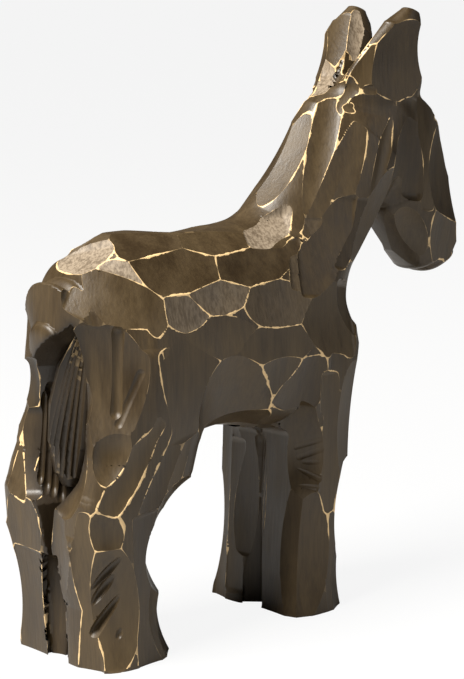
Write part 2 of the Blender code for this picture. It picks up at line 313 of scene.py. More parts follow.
# The rump, the back with its row of scallops, the flank and the belly.
TRUNK_MARKS = {
    "rump_mid": ((84, 286), (162, 322), (133, 279), 0.5, 0, 0),
    "hatch": ((107, 261), (161, 296), (141, 271), 0.15, 0, 1),
    "pink": ((64, 264), (105, 259), (86, 270), 0.15, 0, 0.95),
    "rump_top": ((98, 249), (128, 245), (113, 257), 0.1, 0, 0.35),
    "spine_a": ((118, 245), (186, 246), (152, 257), 0.15, 0, 0),
    "spine_b": ((180, 246), (250, 240), (214, 256), 0.15, 0, 0),
    "olive_a": ((140, 266), (222, 270), (180, 291), 0.2, 0, 0),
    "olive_b": ((212, 268), (296, 262), (252, 284), 0.2, 0, 0),
    "scallop_a": ((170, 297), (200, 325), (198, 300), 0.35, 0, 0.4),
    "scallop_b": ((190, 300), (247, 294), (219, 280), 0.35, 0, 0.3),
    "scallop_c": ((250, 304), (312, 303), (280, 326), 0.35, 0, 0.12),
    # The withers facet is left almost bare: its pale colour is partly the chattered bare wood and partly a
    # painted highlight where it faces the key light.
    "wither": ((256, 216), (276, 254), (292, 228), 0.2, 0, 0.95),
    "collar": ((304, 225), (308, 285), (319, 255), 0.2, 0, 0.1),
    "flank_a": ((172, 348), (250, 338), (212, 322), 0.15, 0, 0),
    "flank_b": ((246, 345), (314, 342), (280, 326), 0.15, 0, 0),
    "shoulder": ((330, 285), (330, 352), (308, 322), 0.15, 0, 0),
    "breast": ((345, 275), (350, 345), (336, 310), 0.15, 0, 0),
    "belly_a": ((206, 412), (262, 380), (226, 366), 0.3, 0, 0),
    "belly_b": ((262, 377), (302, 372), (280, 392), 0.3, 0, 0),
    "elbow": ((318, 360), (290, 406), (320, 392), 0.5, 0, 0),
}
# The hind legs, the right one first: thigh, hock and shin.
HIND_LEG_MARKS = {
    "thigh_a": ((186, 342), (198, 424), (168, 385), 0.2, 0, 0),
    "thigh_b": ((184, 430), (150, 510), (164, 458), 0.2, 0, 0),
    "thigh_rim": ((192, 440), (166, 500), (176, 466), 0.1, 0, 0),
    "thigh_rear": ((124, 338), (126, 436), (86, 388), 1.2, 18, 0),
    "gaskin": ((122, 430), (112, 482), (100, 456), 1.6, 12, 0),
    "hock_band": ((160, 434), (104, 508), (141, 478), 0.3, 0, 0),
    "hock_cap": ((108, 516), (108, 560), (122, 536), 0.2, 0, 0),
    "shin_a": ((88, 530), (86, 660), (78, 600), 0.15, 0, 0),
    "shin_b": ((116, 560), (116, 660), (136, 612), 0.15, 0, 0),
    "shin_c": ((146, 530), (152, 660), (138, 600), 0.15, 0, 0),
    "lthigh_a": ((27, 345), (28, 425), (40, 385), 0.2, 0, 0),
    "lthigh_b": ((30, 412), (30, 492), (37, 455), 0.15, 0, 0),
    "lthigh_c": ((24, 432), (15, 496), (26, 468), 0.15, 0, 0),
    "lhock_a": ((10, 505), (32, 560), (36, 525), 0.15, 0, 0),
    "lshin_a": ((26, 560), (32, 652), (43, 608), 0.15, 0, 0),
    "lshin_b": ((52, 560), (52, 656), (43, 610), 0.15, 0, 0),
}
# Long strokes down the front legs.
FRONT_LEG_MARKS = {
    "lfore_a": ((236, 440), (232, 590), (229, 510), 0.15, 0, 0),
    "lfore_b": ((225, 436), (219, 585), (228, 510), 0.1, 0, 0),
    "rfore_a": ((276, 450), (270, 606), (264, 530), 0.15, 0, 0),
    "rfore_b": ((304, 408), (300, 500), (321, 450), 0.2, 0, 0),
    "rfore_e": ((293, 500), (282, 606), (304, 545), 0.2, 0, 0),
    "rfore_c": ((334, 385), (330, 500), (323, 440), 0.2, 0, 0),
    "rfore_d": ((320, 505), (308, 612), (327, 560), 0.2, 0, 0),
    "rfore_f": ((334, 505), (334, 608), (327, 560), 0.15, 0, 0),
}
# From the poll to the shoulder, then the cheek, jaw and muzzle, then the ears.
NECK_MARKS = {
    "crest": ((300, 122), (268, 198), (302, 152), 0.15, 0, 0),
    "neck_a": ((326, 106), (314, 206), (309, 152), 0.2, 0, 0),
    "neck_b": ((358, 98), (345, 204), (341, 138), 0.2, 0, 0),
    "throat": ((326, 206), (330, 288), (304, 250), 0.2, 0, 0),
    "windpipe": ((352, 205), (348, 262), (338, 235), 0.2, 0, 0),
}
HEAD_MARKS = {
    "cheek_a": ((391, 112), (374, 196), (382, 125), 0.2, 0, 0),
    "cheek_b": ((411, 108), (400, 202), (397, 155), 0.2, 0, 0),
    "cheek_c": ((428, 108), (424, 200), (421, 150), 0.2, 0, 0),
    "nose": ((436, 130), (448, 222), (430, 180), 0.15, 0, 0),
    "jaw": ((402, 212), (420, 252), (398, 236), 0.9, 0, 0),
    "chin": ((388, 218), (412, 262), (404, 228), 0.4, 0, 0),
    "lip": ((444, 206), (446, 256), (433, 235), 0.2, 0, 0),
}
EAR_MARKS = {
    "ear_back": ((404, 28), (398, 96), (376, 64), 0.2, 0, 0),
    "ear_pale": ((342, 72), (318, 98), (346, 88), 0.15, 0, 1),
    "ear_low": ((330, 112), (352, 92), (342, 108), 0.15, 0, 0),
    "lear_pale": ((354, 14), (354, 54), (347, 34), 0.15, 0, 1),
    "lear_back": ((341, 18), (328, 72), (346, 44), 0.15, 0, 0),
}
# Narrow gouge marks, by their two ends, width and depth in millimetres: strands behind the
# thighs, slashes on the shin and chatter on the front leg.
GOUGE_MARKS = [
    ((118, 340), (116, 405), 2.2, 0.6), ((139, 378), (121, 420), 1.8, 0.4),
    ((50, 400), (48, 475), 1.2, 0.4), ((57, 420), (55, 482), 1.2, 0.45),
    ((66, 430), (62, 486), 1.2, 0.45), ((44, 405), (42, 470), 1, 0.35),
    ((118, 560), (95, 585), 2.2, 1.1), ((112, 577), (94, 602), 2.6, 1.4),
    ((118, 597), (93, 632), 2.6, 1.4), ((121, 628), (118, 638), 1.6, 0.6),
    ((298, 446), (320, 441), 1.4, 0.14), ((300, 456), (320, 451), 1.4, 0.12),
    ((298, 470), (320, 478), 1.4, 0.15), ((303, 462), (319, 462), 1.2, 0.1),
    ((300, 486), (318, 488), 1.4, 0.12),
]
# Ridges where handling has worn the stain through, and how far it has gone.
WORN_MARKS = [
    ([(120, 247), (127, 250), (150, 258)], 0.8), ([(110, 257), (127, 250)], 0.9),
    ([(150, 258), (180, 259), (206, 259)], 1.3), ([(206, 259), (225, 254), (244, 250)], 0.9),
    ([(82, 270), (104, 262)], 0.6), ([(106, 262), (148, 297), (166, 294)], 0.4),
    ([(120, 259), (166, 292)], 0.5), ([(60, 266), (70, 272)], 0.6), ([(46, 287), (52, 285)], 0.7),
    ([(50, 290), (56, 330)], 0.3), ([(78, 275), (66, 330)], 0.3), ([(166, 293), (186, 292)], 1),
    ([(166, 294), (173, 326)], 0.7), ([(173, 326), (200, 328)], 0.5),
    ([(198, 308), (206, 315)], 0.9), ([(188, 292), (214, 279)], 0.35),
    ([(214, 279), (240, 283), (248, 294)], 0.6), ([(206, 315), (222, 311), (243, 312)], 0.7),
    ([(246, 294), (244, 312), (262, 322)], 0.6), ([(262, 323), (282, 324), (300, 328)], 0.8),
    ([(252, 285), (268, 283)], 1), ([(268, 283), (290, 277)], 0.35),
    ([(140, 331), (146, 330)], 0.6), ([(156, 342), (162, 341)], 0.7),
    ([(162, 340), (164, 378)], 0.9), ([(160, 388), (163, 398)], 0.6), ([(170, 378), (175, 392)], 1),
    ([(173, 328), (166, 340)], 0.3), ([(62, 342), (70, 345)], 0.8),
    ([(68, 347), (56, 358), (44, 376)], 0.8), ([(44, 378), (38, 412)], 0.5),
    ([(38, 412), (38, 470), (44, 495)], 0.7), ([(21, 440), (20, 490)], 0.7),
    ([(20, 497), (36, 518), (57, 547)], 0.8), ([(44, 495), (57, 545)], 0.6),
    ([(31, 535), (40, 562), (43, 580)], 0.5), ([(43, 580), (42, 620), (46, 655)], 0.6),
    ([(84, 555), (80, 578), (77, 600)], 0.7), ([(77, 600), (77, 660)], 0.7),
    ([(146, 438), (140, 470)], 1), ([(140, 470), (120, 482), (98, 498)], 1),
    ([(98, 498), (92, 525)], 0.9), ([(165, 440), (152, 468)], 1),
    ([(146, 478), (138, 492), (122, 514)], 1), ([(98, 513), (116, 512), (122, 526)], 1.1),
    ([(97, 540), (96, 565), (90, 580)], 0.4), ([(118, 456), (122, 478)], 0.4),
    ([(122, 520), (122, 560)], 0.25), ([(138, 575), (137, 655)], 0.2),
    ([(104, 640), (94, 664)], 0.8), ([(113, 655), (106, 668)], 0.6),
    ([(130, 668), (152, 657)], 0.8), ([(200, 430), (206, 412), (214, 380), (220, 365)], 0.3),
    ([(190, 445), (166, 508)], 0.3), ([(252, 368), (262, 371), (268, 374)], 1.1),
    ([(268, 374), (280, 369), (306, 366)], 1), ([(268, 374), (268, 394), (272, 407)], 1.1),
    ([(245, 383), (254, 391)], 0.9), ([(255, 396), (282, 393)], 0.9),
    ([(282, 393), (298, 378)], 0.4), ([(306, 366), (314, 358), (320, 356)], 0.6),
    ([(320, 356), (330, 375)], 0.9), ([(330, 376), (325, 392)], 0.9),
    ([(325, 395), (322, 440)], 0.2), ([(332, 488), (329, 528)], 0.9),
    ([(322, 500), (317, 530)], 0.5), ([(222, 430), (228, 500), (222, 580)], 0.5),
    ([(264, 480), (265, 520)], 0.4), ([(303, 109), (310, 107)], 1), ([(310, 107), (311, 120)], 1),
    ([(340, 68), (322, 83), (312, 100)], 1.1), ([(335, 98), (318, 116), (314, 124)], 0.9),
    ([(314, 122), (309, 160)], 1), ([(305, 122), (302, 145)], 0.7),
    ([(318, 118), (340, 115)], 0.35), ([(358, 87), (345, 112)], 1),
    ([(345, 112), (341, 138), (331, 180)], 0.9), ([(342, 66), (350, 79)], 0.6),
    ([(344, 64), (362, 54)], 0.5), ([(366, 50), (385, 42)], 0.7), ([(408, 26), (405, 38)], 0.8),
    ([(381, 102), (383, 113)], 1), ([(383, 113), (371, 141)], 1), ([(371, 141), (367, 168)], 0.6),
    ([(384, 116), (392, 117), (396, 127)], 0.5), ([(396, 127), (393, 136), (382, 143)], 0.7),
    ([(407, 146), (400, 160), (394, 166)], 0.7), ([(432, 121), (431, 140), (422, 162)], 0.8),
    ([(415, 82), (402, 102)], 0.5), ([(432, 218), (436, 248), (440, 258)], 0.9),
    ([(440, 257), (448, 253)], 0.7), ([(444, 212), (454, 232)], 0.5),
    ([(298, 172), (293, 186)], 0.7), ([(334, 188), (336, 196)], 0.5),
    ([(293, 222), (291, 242)], 0.8), ([(300, 235), (308, 248), (305, 262)], 0.8),
    ([(345, 262), (348, 265)], 0.6), ([(340, 350), (346, 357)], 0.5),
    ([(268, 200), (266, 208)], 0.7), ([(280, 406), (290, 400)], 0.3), ([(56, 490), (72, 470)], 0.6),
    ([(82, 470), (76, 482)], 0.5), ([(350, 14), (347, 54)], 0.3),
]
SHORTENING, MOST_OVERCUT = 0.82, 0.8
LEAST_WIDTH = 2.5


def half_millimetres(values):
    """Lengths to the nearest half millimetre."""
    return np.round(2.0 * np.asarray(values)) / 2.0


def seen_on(form, marks):
    """Where the sight lines through the marks meet a form, by steps of half the distance."""
    marks = np.array(marks, float)
    across, down = (marks - PRINCIPAL).T / FOCAL_PIXELS
    sight = VIEW_FORWARD + across[:, None] * VIEW_RIGHT - down[:, None] * VIEW_UP
    sight /= np.linalg.norm(sight, axis=1)[:, None]
    far = np.full(len(marks), VIEW_DISTANCE - 130.0)
    for _ in range(140):
        far += 0.5 * np.clip(form(VIEW_EYE + far[:, None] * sight), -2, 8)
    return VIEW_EYE + far[:, None] * sight


def placed_strokes(form, marks):
    """Strokes from their marks: the width is twice the rim's distance from the line between
    the ends. A stroke that would dig below the form at its rim is shortened, three times at
    most."""
    start, end, rim = [seen_on(form, [mark[k] for mark in marks]) for k in range(3)]
    along = (end - start) / np.linalg.norm(end - start, axis=1)[:, None]
    aside = rim - (start + end) / 2
    aside = aside - np.sum(aside * along, axis=1)[:, None] * along
    width = half_millimetres(2.0 * np.linalg.norm(aside, axis=1))
    finish = np.array([mark[3:] for mark in marks], float)
    rows = np.column_stack([half_millimetres(start), half_millimetres(end), width, finish])
    for _ in range(3):
        deep = overcut(form, make_cuts(form, rows)) < -MOST_OVERCUT
        middle = (rows[deep, 0:3] + rows[deep, 3:6]) / 2
        rows[deep, 0:3] = half_millimetres(middle + SHORTENING * (rows[deep, 0:3] - middle))
        rows[deep, 3:6] = half_millimetres(middle + SHORTENING * (rows[deep, 3:6] - middle))
        rows[deep, 6] = np.maximum(LEAST_WIDTH, half_millimetres(SHORTENING * rows[deep, 6]))
    return rows


# Everywhere else the knife went round each limb in staggered rows of like strokes.
WORN_REACH = 2.4
# Reach of the painted shade that darkens the colour outside the cleft.
CLEFT_SHADE_REACH = 1.6
MIRROR = np.array([1, -1, 1, 1, -1, 1, 1, 1, -1, 1.0])
WORN_MIRROR = np.array([1, -1, 1, 1, -1, 1, 0.8])


def filling_strokes(stations, square, taper, side, length, width, hollow, seed):
    """Strokes round a limb: rings a stroke apart along its axis, each ring turned half a
    stroke from the last, every stroke on the superellipse at its angle, a little uneven."""
    rng = np.random.default_rng(seed)
    st = np.array(stations, float)
    s = np.concatenate([[0], np.cumsum(np.hypot(np.diff(st[:, 0]), np.diff(st[:, 1])))])
    rings = max(1, int(round(s[-1] / (length * 0.8))))
    rows = []
    for i in range(rings):
        middle = (i + 0.5) / rings * s[-1]
        here = [np.interp(middle, s, st[:, k]) for k in range(5)]
        girth = 2 * math.pi * math.sqrt((here[2] ** 2 + here[3] ** 2) / 2)
        count = max(5, int(round(girth / (width * 0.8))))
        turn = 2 * math.pi * (np.arange(count) + 0.5 * (i % 2) + rng.uniform(-0.18, 0.18, count)) / count
        centre = np.clip(middle + rng.uniform(-0.2, 0.2, count) * length, 0, s[-1])
        ends = []
        for offset in (-0.5 * length, 0.5 * length):
            at = np.clip(centre + offset, -2, s[-1] + 2)
            x, z, depth, half, y = [np.interp(at, s, st[:, k]) for k in range(5)]
            inner = np.clip(at, 1, s[-1] - 1)
            dx = np.interp(inner + 1, s, st[:, 0]) - np.interp(inner - 1, s, st[:, 0])
            dz = np.interp(inner + 1, s, st[:, 1]) - np.interp(inner - 1, s, st[:, 1])
            run = np.hypot(dx, dz)
            angle = turn + rng.uniform(-0.05, 0.05, count)
            across = np.sign(np.cos(angle)) * np.abs(np.cos(angle)) ** (2 / square) * depth
            out = np.sign(np.sin(angle)) * np.abs(np.sin(angle)) ** (2 / square) * half
            out = out * (1 - taper * across / depth)
            ends.append(np.stack([x - dz / run * across, side * (y + out), z + dx / run * across], axis=1))
        sizes = [width * rng.uniform(0.9, 1.1, count), hollow * rng.uniform(0.5, 1.4, count)]
        rows.append(np.column_stack(ends + sizes + [np.zeros(count), np.zeros(count)]))
    rows = np.concatenate(rows)
    middle = (rows[:, 0:3] + rows[:, 3:6]) / 2
    return rows[np.abs(block_form(middle)) < 2.5]


def covered(c, p):
    """Which points lie inside the stroke of a cut that is already made."""
    hit = np.zeros(len(p), bool)
    for k in range(len(c["a"])):
        q = p - c["origin"][k]
        inside = (np.abs(q @ c["u"][k]) < 1.05 * c["a"][k]) & (np.abs(q @ c["v"][k]) < 1.05 * c["b"][k])
        hit |= inside & (np.abs(q @ c["w"][k]) < 4.0)
    return hit


all_marks = [
    mark
    for group in (TRUNK_MARKS, HIND_LEG_MARKS, FRONT_LEG_MARKS, NECK_MARKS, HEAD_MARKS, EAR_MARKS)
    for mark in group.values()
]
placed = placed_strokes(block_form, all_marks)
cuts = make_cuts(block_form, placed)
seen_cuts = cuts


def marked_form(p):
    """Distance to the horse with only the strokes that can be seen."""
    return carved(block_form, seen_cuts, [], p)


gouge_ends = [mark[k] for k in (0, 1) for mark in GOUGE_MARKS]
worn_ends = [mark for line, _ in WORN_MARKS for mark in line]
found = half_millimetres(seen_on(marked_form, gouge_ends + worn_ends))
gouge_found, worn_found = found[:len(gouge_ends)], found[len(gouge_ends):]
gouges = np.column_stack([
    gouge_found[:len(GOUGE_MARKS)], gouge_found[len(GOUGE_MARKS):],
    [(width, depth, 0, 0) for _, _, width, depth in GOUGE_MARKS],
])
first = np.cumsum([0] + [len(line) for line, _ in WORN_MARKS])
worn = np.array([
    [*worn_found[at + k], *worn_found[at + k + 1], strength]
    for at, (line, strength) in zip(first, WORN_MARKS)
    for k in range(len(line) - 1)
])
far_side = placed * MIRROR
far_side[:, 0:6] += np.random.default_rng(21).uniform(-0.8, 0.8, (len(placed), 6))
fill = [filling_strokes(TRUNK, TRUNK_SQUARE, TRUNK_TAPER, 1, 22, 14, 0.3, 1)]
for side in (1, -1):
    fill.append(filling_strokes(HIND_LEG, LEG_SQUARE, 0, side, 24, 10, 0.3, 2 + side))
    fill.append(filling_strokes(FRONT_LEG, LEG_SQUARE, 0, side, 28, 9, 0.25, 5 + side))
    fill.append(filling_strokes(EAR, EAR_SQUARE, 0, side, 16, 7, 0.2, 8 + side))
fill.append(filling_strokes(NECK, NECK_SQUARE, NECK_TAPER, 1, 26, 9, 0.25, 11))
fill.append(filling_strokes(HEAD, HEAD_SQUARE, 0, 1, 18, 9, 0.25, 12))
for rows in (far_side, np.concatenate(fill)):
    more = make_cuts(block_form, rows)
    fits = overcut(block_form, more) > -0.6
    cuts = joined(cuts, chosen(more, fits & ~covered(cuts, more["origin"])))


def faceted_form(p):
    """Distance to the horse with its facets, before the gouge."""
    return carved(block_form, cuts, [], p)


facets = len(cuts["a"])
cuts = joined(cuts, make_cuts(faceted_form, gouges))
worn = np.concatenate([worn, worn[worn[:, 1] < -6] * WORN_MIRROR])


def leading(c, planes, p, base):
    """The three highest of form, cuts and joint planes at each point: value, slope, number."""
    n = len(p)
    value, slope, who = np.full((3, n), -1e3), np.zeros((3, n, 3)), np.full((3, n), -9)

    def enter(rows, v, g, name):
        name = np.full(len(v), name)
        for place in range(3):
            win = v > value[place, rows]
            at = rows[win]
            held = value[place, at].copy(), slope[place, at].copy(), who[place, at].copy()
            value[place, at], slope[place, at], who[place, at] = v[win], g[win], name[win]
            v, g = v.copy(), g.copy()
            v[win], g[win], name[win] = held

    everyone = np.arange(n)
    enter(everyone, base[0], base[1], -1)
    for k in range(len(c["a"])):
        near = near_cut(c, k, p)
        if len(near):
            enter(near, *cut_value(c, k, p[near]), k)
    for i, (point, normal) in enumerate(planes):
        enter(everyone, (p - point) @ normal, np.repeat(normal[None], n, 0), -2 - i)
    return value, slope, who


def sculpt(form, c, planes, low, high):
    """The carved surface as quads by dual contouring: one vertex for every cell that the
    surface crosses, moved to where the leading two or three functions are all zero, so that
    ridges stay crisp, and one quad for every grid edge that it crosses."""
    step = 4 * CELL
    first = np.floor(np.array(low) / step).astype(int) - 1
    count = np.ceil(np.array(high) / step).astype(int) + 1 - first
    axes = [(first[i] + np.arange(count[i] + 1)) * step for i in range(3)]
    grid = np.stack(np.meshgrid(*axes, indexing="ij"), -1).reshape(-1, 3)
    inside = (c["origin"] > grid.min(0) - 20) & (c["origin"] < grid.max(0) + 20)
    reached = np.flatnonzero(np.all(inside, axis=1))
    c = chosen(c, reached)
    close = np.abs(carved(form, c, planes, grid).reshape(count + 1)) < 1.8 * step
    corners = [(x, y, z) for x in (0, 1) for y in (0, 1) for z in (0, 1)]

    def at_corner(values, corner, n):
        return values[tuple(slice(o, o + m) for o, m in zip(corner, n))]

    band = np.any([at_corner(close, o, count) for o in corners], axis=0)
    band = band.repeat(4, 0).repeat(4, 1).repeat(4, 2)
    n = np.array(band.shape)
    need = np.zeros(n + 1, bool)
    for o in corners:
        at_corner(need, o, n)[band] = True
    values = np.full(n + 1, np.nan)
    values[need] = carved(form, c, planes, (np.argwhere(need) + first * 4) * CELL)
    inside = values < 0
    total = np.sum([at_corner(inside, o, n) for o in corners], axis=0)
    live = (total > 0) & (total < 8) & band
    cells = np.argwhere(live)
    number = np.full(n, -1)
    number[live] = np.arange(len(cells))
    mean, hits = np.zeros((len(cells), 3)), np.zeros(len(cells))
    quads = []
    unit = np.eye(3, dtype=int)
    for axis in range(3):
        b, d = (axis + 1) % 3, (axis + 2) % 3
        for ob, od in ((0, 0), (0, 1), (1, 0), (1, 1)):
            start = cells + ob * unit[b] + od * unit[d]
            va, vb = values[tuple(start.T)], values[tuple((start + unit[axis]).T)]
            cross = (va < 0) != (vb < 0)
            share = np.where(cross, va / np.where(cross, va - vb, 1), 0)
            mean += np.where(cross[:, None], start + share[:, None] * unit[axis], 0)
            hits += cross
        near_end = [slice(None)] * 3
        far_end = [slice(None)] * 3
        near_end[axis], far_end[axis] = slice(0, n[axis]), slice(1, n[axis] + 1)
        known = ~np.isnan(values[tuple(near_end)] + values[tuple(far_end)])
        edge = np.argwhere((inside[tuple(near_end)] != inside[tuple(far_end)]) & known)
        edge = edge[np.all((edge[:, [b, d]] > 0) & (edge[:, [b, d]] < n[[b, d]]), axis=1)]
        ring = [edge - unit[b] - unit[d], edge - unit[d], edge, edge - unit[b]]
        quad = np.stack([number[tuple(r.T)] for r in ring], 1)
        turned = ~inside[tuple(edge.T)]
        quad[turned] = quad[turned][:, ::-1]
        quads.append(quad[(quad >= 0).all(1)])
    quads = np.concatenate(quads)
    p = (mean / hits[:, None] + first * 4) * CELL
    base = with_slope(form, p)
    base_at = p.copy()
    for turn in range(6):
        now = base[0] + np.sum((p - base_at) * base[1], axis=1), base[1]
        value, slope, who = leading(c, planes, p, now)
        if turn == 5:
            break
        if turn in (1, 3):
            redo = np.flatnonzero((who[:2] == -1).any(0))
            base[0][redo], base[1][redo] = with_slope(form, p[redo])
            base_at[redo] = p[redo]
            now = base[0] + np.sum((p - base_at) * base[1], axis=1), base[1]
            value, slope, who = leading(c, planes, p, now)
        apart = np.linalg.norm(slope[0] - slope[1:], axis=2)
        gap = (value[0] - value[1:]) / np.maximum(apart, 1e-3)
        weight = np.concatenate([np.ones((1, len(p))), (gap < 0.55 * CELL) & (apart > 0.06)])
        pull = np.einsum("kn,kni,knj->nij", weight, slope, slope) + 1e-3 * np.eye(3)
        aim = -np.einsum("kn,kn,kni->ni", weight, value, slope)
        move = np.linalg.solve(pull, aim[..., None])[..., 0]
        size = np.linalg.norm(move, axis=1)
        p = p + move * np.minimum(1, 0.5 * CELL / np.maximum(size, 1e-9))[:, None]
    names = np.where(who >= 0, reached[np.clip(who, 0, None)], who)
    return p, quads, value, slope, names


def worn_at(p):
    """How worn the nearest marked ridges leave each point: strength falling off with distance."""
    amount = np.zeros(len(p))
    for row in worn:
        a, b, strength = row[0:3], row[3:6], row[6]
        near = np.flatnonzero(np.all((p > np.minimum(a, b) - 6) & (p < np.maximum(a, b) + 6), axis=1))
        if len(near) == 0:
            continue
        q = p[near] - a
        along = np.clip(q @ (b - a) / max((b - a) @ (b - a), 1e-6), 0, 1)
        away = np.linalg.norm(q - along[:, None] * (b - a), axis=1)
        amount[near] = np.maximum(amount[near], strength * np.exp(-((away / WORN_REACH) ** 2)))
    return amount


def painted_cleft_shade_at(p):
    """How much painted shade darkens each point, standing in for the shadow in the recess: all of it in
    the cleft, falling off over its reach outside.
    """
    return np.exp(-((np.maximum(cleft(p), 0.0) / CLEFT_SHADE_REACH) ** 2))


def carved_piece(name, form, c, planes, low, high):
    """A carved piece as a mesh: facets keep their own smooth normals, so only ridges are
    sharp, and points carry how near a ridge is, how worn and how much painted shade lies
    in the cleft, faces how dark and how bare."""
    p, quads, value, slope, names = sculpt(form, c, planes, low, high)
    apart = np.linalg.norm(slope[0] - slope[1], axis=1)
    gap = (value[0] - value[1]) / np.maximum(apart, 1e-3)
    unworn = (apart < 0.12) | (names[:2] <= -2).any(0) | (names[:2] >= facets).any(0)
    edge = np.where(unworn, 9.0, np.clip(gap, 0, 9))
    at = gap[quads].argmax(axis=1)
    facet = names[0][quads][np.arange(len(quads)), at]
    tone = np.random.default_rng(5).uniform(-1, 1, len(c["a"]) + 1)[facet]
    bare = np.append(c["bare"], 0.0)[np.where(facet < 0, -1, facet)]
    corner = slope[0][quads]
    for place in (2, 1, 0):
        same = names[place][quads] == facet[:, None]
        corner[same] = slope[place][quads][same]
    row = p * MM
    row[:, 0] -= BOX_MIDDLE_X * MM
    mesh = bpy.data.meshes.new(name)
    mesh.from_pydata(row.tolist(), [], quads.tolist())
    mesh.shade_smooth()
    for label, domain, data in (
        ("edge", "POINT", edge), ("worn", "POINT", worn_at(p)), ("painted_shade", "POINT", painted_cleft_shade_at(p)),
        ("tone", "FACE", tone), ("bare", "FACE", bare),
    ):
        mesh.attributes.new(label, "FLOAT", domain).data.foreach_set("value", data.astype(np.float32))
    normals = corner.reshape(-1, 3)
    normals /= np.maximum(np.linalg.norm(normals, axis=1), 1e-6)[:, None]
    mesh.normals_split_custom_set(normals.tolist())
    piece = bpy.data.objects.new(name, mesh)
    bpy.context.scene.collection.objects.link(piece)
    mesh.materials.append(stained_wood)
    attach(piece, "root")
    return piece


# The wood is stained dark brown and waxed. Grain runs upright; the stain is uneven from facet
# to facet, rubbed through to pale wood on handled ridges, and thin on a few late cuts.
STAIN_DARK = (0.022, 0.0132, 0.0052, 1.0)
STAIN_LIGHT = (0.066, 0.0435, 0.0185, 1.0)
RUBBED_WOOD = (0.60, 0.42, 0.21, 1.0)
# Painted shade: the dark colour laid into the cleft behind the thighs, where the recess is in shadow.
CLEFT_PAINTED_SHADE = (0.007, 0.0042, 0.002, 1.0)
BARE_WOOD = (0.21, 0.165, 0.115, 1.0)
BARE_DARK = (0.10, 0.073, 0.046, 1.0)


def link(tree, source, target):
    tree.links.new(source, target)


def node(tree, kind, **settings):
    made = tree.nodes.new(kind)
    for key, value in settings.items():
        setattr(made, key, value)
    return made


def grain_noise(tree, stretch, scale, detail, coordinates):
    """Noise drawn out along the grain, which runs along z."""
    mapping = node(tree, "ShaderNodeMapping")
    mapping.inputs["Scale"].default_value = (1.0, 1.0, stretch)
    noise = node(tree, "ShaderNodeTexNoise")
    noise.inputs["Scale"].default_value = scale
    noise.inputs["Detail"].default_value = detail
    noise.inputs["Roughness"].default_value = 0.6
    link(tree, coordinates, mapping.inputs["Vector"])
    link(tree, mapping.outputs["Vector"], noise.inputs["Vector"])
    return noise.outputs["Fac"]


def ramp(tree, value, low, high, to_low=0.0, to_high=1.0):
    """A value moved from one range to another and held within it."""
    made = node(tree, "ShaderNodeMapRange", interpolation_type="SMOOTHSTEP")
    for label, number in (("From Min", low), ("From Max", high), ("To Min", to_low), ("To Max", to_high)):
        made.inputs[label].default_value = number
    link(tree, value, made.inputs["Value"])
    return made.outputs["Result"]


def maths(tree, operation, a, b):
    """Two values or sockets put together."""
    made = node(tree, "ShaderNodeMath", operation=operation)
    for socket, value in zip(made.inputs, (a, b)):
        if isinstance(value, (int, float)):
            socket.default_value = value
        else:
            link(tree, value, socket)
    return made.outputs["Value"]


def mixed(tree, share, a, b):
    """Two colours mixed by a share."""
    made = node(tree, "ShaderNodeMix", data_type="RGBA")
    link(tree, share, made.inputs["Factor"])
    for socket, value in ((made.inputs[6], a), (made.inputs[7], b)):
        if isinstance(value, tuple):
            socket.default_value = value
        else:
            link(tree, value, socket)
    return made.outputs[2]


def attribute(tree, name):
    return node(tree, "ShaderNodeAttribute", attribute_name=name).outputs["Fac"]


stained_wood = bpy.data.materials.new("stained_wood")
stained_wood.use_nodes = True
tree = stained_wood.node_tree
shader = tree.nodes["Principled BSDF"]
place = node(tree, "ShaderNodeTexCoord").outputs["Object"]
fibre = grain_noise(tree, 0.06, 1500.0, 4.0, place)
figure = grain_noise(tree, 0.18, 220.0, 3.0, place)
cloud = grain_noise(tree, 0.8, 60.0, 3.0, place)
chips = grain_noise(tree, 0.5, 420.0, 3.0, place)

stain = maths(tree, "ADD", maths(tree, "MULTIPLY", figure, 0.55), maths(tree, "MULTIPLY", fibre, 0.45))
stain = maths(tree, "ADD", stain, maths(tree, "MULTIPLY", attribute(tree, "tone"), 0.10))
stain = maths(tree, "ADD", stain, maths(tree, "MULTIPLY", maths(tree, "SUBTRACT", cloud, 0.5), 0.5))
colour = mixed(tree, ramp(tree, stain, 0.15, 0.85), STAIN_DARK, STAIN_LIGHT)

scraping = maths(tree, "ADD", maths(tree, "MULTIPLY", fibre, 0.7), maths(tree, "MULTIPLY", chips, 0.3))
scraped = mixed(tree, ramp(tree, scraping, 0.38, 0.6), BARE_DARK, BARE_WOOD)
bare = attribute(tree, "bare")
bareness = maths(tree, "MULTIPLY", bare, ramp(tree, chips, 0.2, 0.5, 0.72, 1.0))
colour = mixed(tree, bareness, colour, scraped)

# Painted shade: the colour is darkened in and near the cleft to stand in for the shadow in that recess.
colour = mixed(tree, maths(tree, "MULTIPLY", attribute(tree, "painted_shade"), 0.7), colour, CLEFT_PAINTED_SHADE)

reach = maths(tree, "MULTIPLY", attribute(tree, "worn"), ramp(tree, chips, 0.3, 0.7, 0.25, 1.2))
reach = maths(tree, "ADD", maths(tree, "MULTIPLY", reach, 0.5), -0.03)
near_ridge = maths(tree, "SUBTRACT", reach, attribute(tree, "edge"))
rubbed = ramp(tree, near_ridge, -0.06, 0.1)
colour = mixed(tree, rubbed, colour, RUBBED_WOOD)
link(tree, colour, shader.inputs["Base Color"])

polish = maths(tree, "ADD", maths(tree, "MULTIPLY", cloud, 0.6), maths(tree, "MULTIPLY", figure, 0.4))
roughness = ramp(tree, polish, 0.3, 0.7, 0.34, 0.52)
roughness = maths(tree, "ADD", roughness, maths(tree, "MULTIPLY", bareness, 0.18))
link(tree, roughness, shader.inputs["Roughness"])
shader.inputs["Specular IOR Level"].default_value = 0.35

